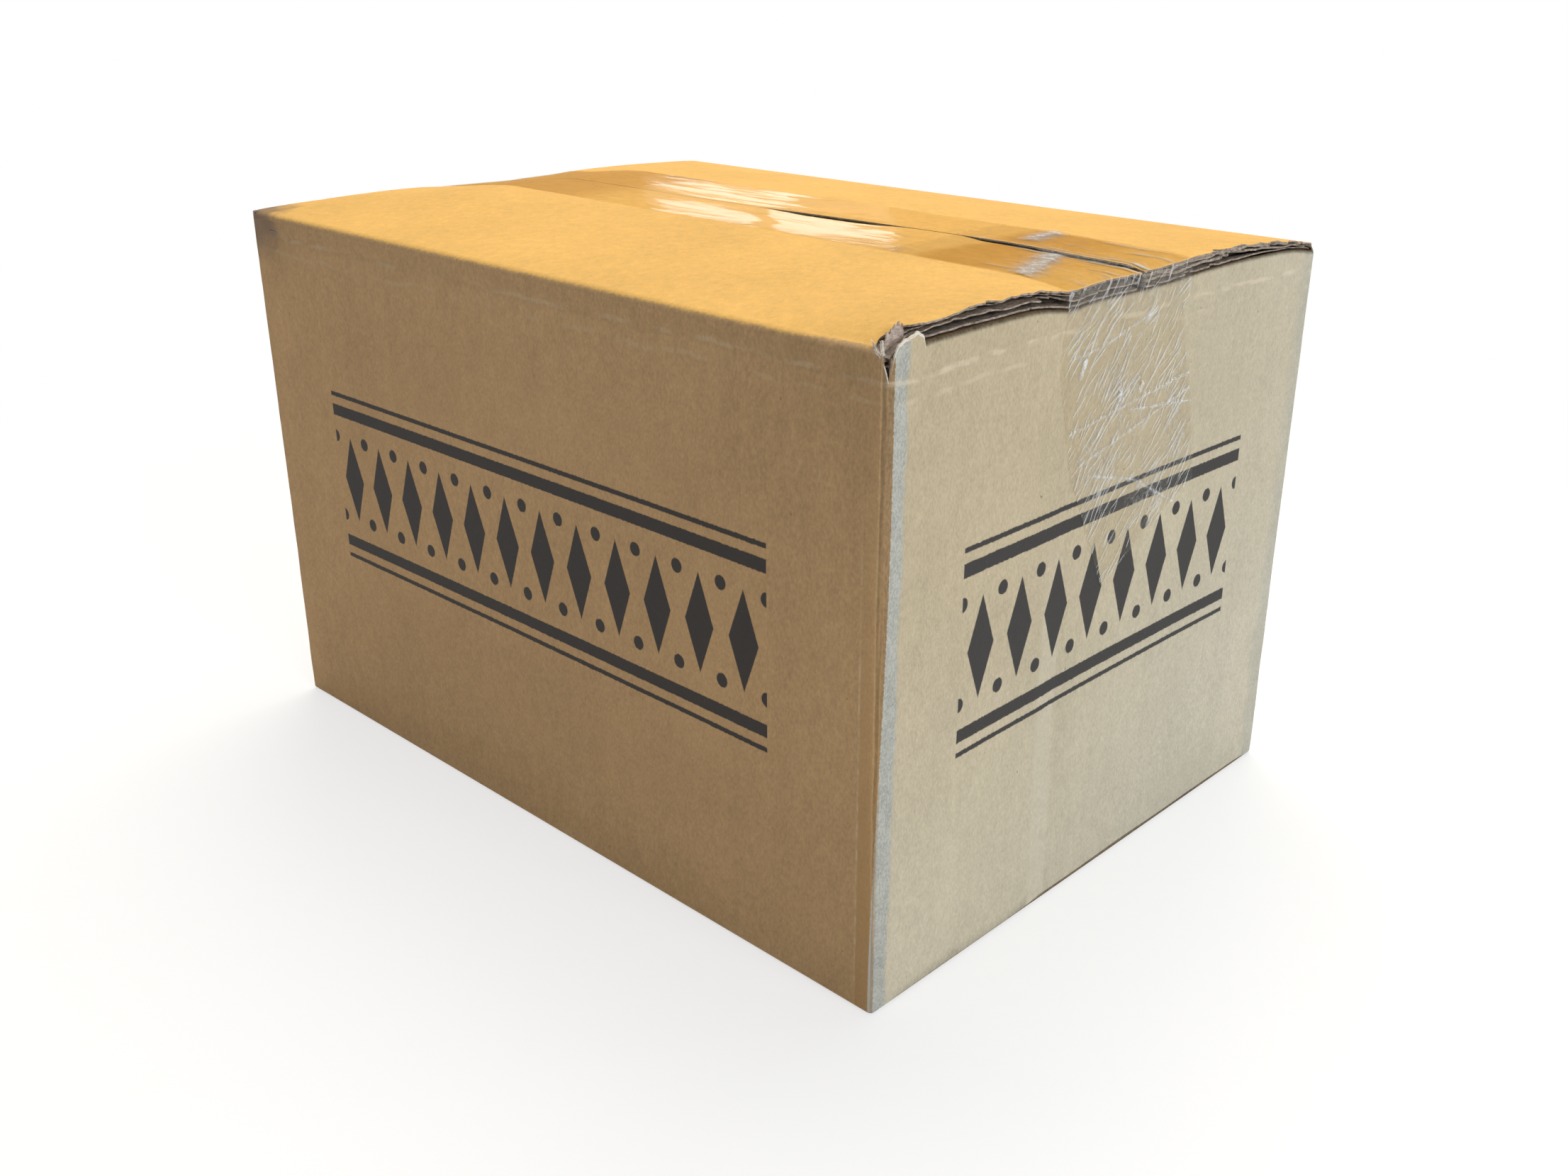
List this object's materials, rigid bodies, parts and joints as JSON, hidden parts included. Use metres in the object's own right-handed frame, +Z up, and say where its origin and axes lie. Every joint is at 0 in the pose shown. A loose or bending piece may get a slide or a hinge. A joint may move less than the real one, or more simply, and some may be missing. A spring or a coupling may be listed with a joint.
{
  "type": "shipping carton",
  "caption": "Closed shipping carton of double wall corrugated board with bowed top flaps, a torn front corner and clear packing tape along its seams.",
  "frame": {"origin": "middle of the underside, on the surface that the carton stands on", "axes": "+X along the seam of the outer flaps towards the end with the tape tail, +Y across the seam towards the back panel, +Z up"},
  "size_m": [0.2312, 0.165, 0.1503],
  "materials": {
    "board": "matte",
    "tape": "gloss"
  },
  "bodies": {
    "root": {"carton": "board", "seam_tape": "tape", "end_tape": "tape", "bottom_tape": "tape"}
  },
  "joints": []
}
